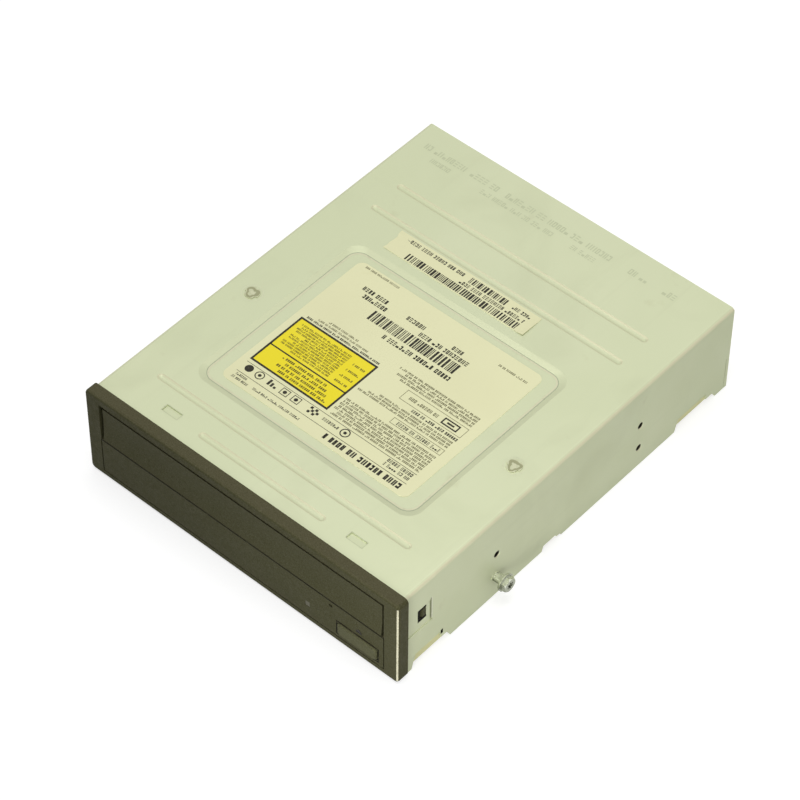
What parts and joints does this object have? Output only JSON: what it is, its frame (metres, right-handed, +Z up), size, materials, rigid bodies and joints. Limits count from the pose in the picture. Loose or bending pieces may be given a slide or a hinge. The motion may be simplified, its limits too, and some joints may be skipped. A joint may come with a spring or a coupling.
{
  "type": "internal optical disc drive",
  "caption": "Half-height optical disc drive for a 5.25 inch bay, with a motor-driven tray, a lifting pickup unit and a steel case with labels.",
  "frame": {"origin": "middle of the flat underside, halfway along the whole depth", "axes": "+X to the right seen from the front, +Y from the bezel to the connectors, +Z up"},
  "size_m": [0.1535, 0.1847, 0.0418],
  "materials": {
    "case_steel": "satin",
    "bezel_plastic": "fine texture",
    "black_plastic": "moulded",
    "label_paper": "printed paper",
    "zinc": "zinc plated",
    "plain_steel": "rolled",
    "ground_steel": "ground",
    "white_plastic": "moulded",
    "belt_rubber": "matt",
    "damper_rubber": "matt",
    "motor_steel": "rolled",
    "copper_windings": "varnished",
    "rotor": "satin",
    "head_metal": "die cast",
    "lens": "coated",
    "light_guide": "clear",
    "lamp": "clear",
    "board": "solder mask",
    "chips": "moulded",
    "contacts": "plated",
    "white_connector": "moulded",
    "jumper": "moulded",
    "cable": "smooth",
    "magnet": "sintered"
  },
  "bodies": {
    "case": {"top_cover": "case_steel", "bottom_cover": "case_steel", "front_bezel": "bezel_plastic", "indicator_lens": "light_guide", "main_label": "label_paper", "small_label": "label_paper", "side_screw": "zinc", "bottom_screws": "zinc", "clamper_bridge": "case_steel", "loader_chassis": "black_plastic", "loading_motor": "motor_steel", "motor_screws": "zinc", "drive_belt": "belt_rubber", "main_board": "board", "board_chips": "chips", "board_screws": "zinc", "data_connector": "black_plastic", "data_pins": "contacts", "power_connector": "white_connector", "power_pins": "contacts", "jumper_block": "black_plastic", "jumper_pins": "contacts", "jumper_cap": "jumper", "sound_connectors": "white_connector", "sound_pins": "contacts", "front_board": "board", "eject_switch": "black_plastic", "indicator_lamp": "lamp", "front_flat_cable": "cable"},
    "tray": {"disc_tray": "black_plastic", "tray_door": "bezel_plastic"},
    "button": {"eject_button": "bezel_plastic"},
    "clamper": {"clamper_puck": "black_plastic", "clamper_cap": "black_plastic", "clamper_magnet": "magnet"},
    "motor_wheel": {"motor_pulley": "white_plastic"},
    "belt_wheel": {"pulley_gear": "white_plastic"},
    "rack_wheel": {"drive_gear": "white_plastic"},
    "slider": {"cam_slider": "white_plastic"},
    "pickup_unit": {"sub_chassis": "black_plastic", "pickup_base": "plain_steel", "rubber_dampers": "damper_rubber", "damper_screws": "zinc", "spindle_motor": "copper_windings", "guide_rods": "ground_steel", "rod_clips": "black_plastic", "feed_motor": "motor_steel", "feed_bracket": "plain_steel"},
    "spindle": {"turntable": "rotor", "turntable_pad": "belt_rubber"},
    "screw": {"lead_screw": "ground_steel"},
    "head": {"pickup_head": "head_metal", "head_cover": "motor_steel", "feed_nut": "white_plastic"},
    "lens": {"lens_holder": "black_plastic", "objective_lens": "lens"}
  },
  "joints": [
    {"name": "tray_slide", "type": "slide", "parent": "case", "child": "tray", "axis": [0, -1, 0], "range_m": [0, 0.14]},
    {"name": "rack_wheel_turn", "type": "hinge", "parent": "case", "child": "rack_wheel", "pos_m": [-0.036, -0.07, 0.018], "axis": [0, 0, 1], "range_deg": [0, 803.1]},
    {"name": "belt_wheel_turn", "type": "hinge", "parent": "case", "child": "belt_wheel", "pos_m": [-0.0162, -0.07278, 0.015], "axis": [0, 0, 1], "range_deg": [-1705.5, 0]},
    {"name": "motor_wheel_turn", "type": "hinge", "parent": "case", "child": "motor_wheel", "pos_m": [0.016, -0.072, 0.014], "axis": [0, 0, 1], "range_deg": [-5449.6, 0]},
    {"name": "eject_press", "type": "slide", "parent": "case", "child": "button", "axis": [0, 1, 0], "range_m": [0, 0.0008], "stiffness_N_per_m": 1000, "springref_m": -0.0004},
    {"name": "clamper_spin", "type": "hinge", "parent": "case", "child": "clamper", "pos_m": [0, -0.0183, 0.03], "axis": [0, 0, 1], "continuous": true},
    {"name": "pickup_lift", "type": "hinge", "parent": "case", "child": "pickup_unit", "pos_m": [0, 0.066, 0.014], "axis": [-1, 0, 0], "range_deg": [0, 5.2]},
    {"name": "cam_slide", "type": "slide", "parent": "case", "child": "slider", "axis": [1, 0, 0], "range_m": [0, 0.0121]},
    {"name": "spindle_spin", "type": "hinge", "parent": "pickup_unit", "child": "spindle", "pos_m": [0, -0.01917, 0.01971], "axis": [0, -0.0906, 0.9959], "continuous": true},
    {"name": "head_feed", "type": "slide", "parent": "pickup_unit", "child": "head", "axis": [0, 0.9959, 0.0906], "range_m": [0, 0.035]},
    {"name": "screw_turn", "type": "hinge", "parent": "pickup_unit", "child": "screw", "pos_m": [-0.0385, 0.01793, 0.01264], "axis": [0, 0.9959, 0.0906], "range_deg": [0, 4201]},
    {"name": "lens_focus", "type": "slide", "parent": "head", "child": "lens", "axis": [0, -0.0906, 0.9959], "range_m": [-0.0004, 0.0004], "stiffness_N_per_m": 80}
  ],
  "couplings": [
    {"joint": "rack_wheel_turn", "follows": "tray_slide", "rad_per_m": 100},
    {"joint": "belt_wheel_turn", "follows": "tray_slide", "rad_per_m": -212.5},
    {"joint": "motor_wheel_turn", "follows": "tray_slide", "rad_per_m": -679.26},
    {"joint": "cam_slide", "follows": "pickup_lift", "m_per_rad": 0.13222},
    {"joint": "screw_turn", "follows": "head_feed", "rad_per_m": 2094.4}
  ]
}
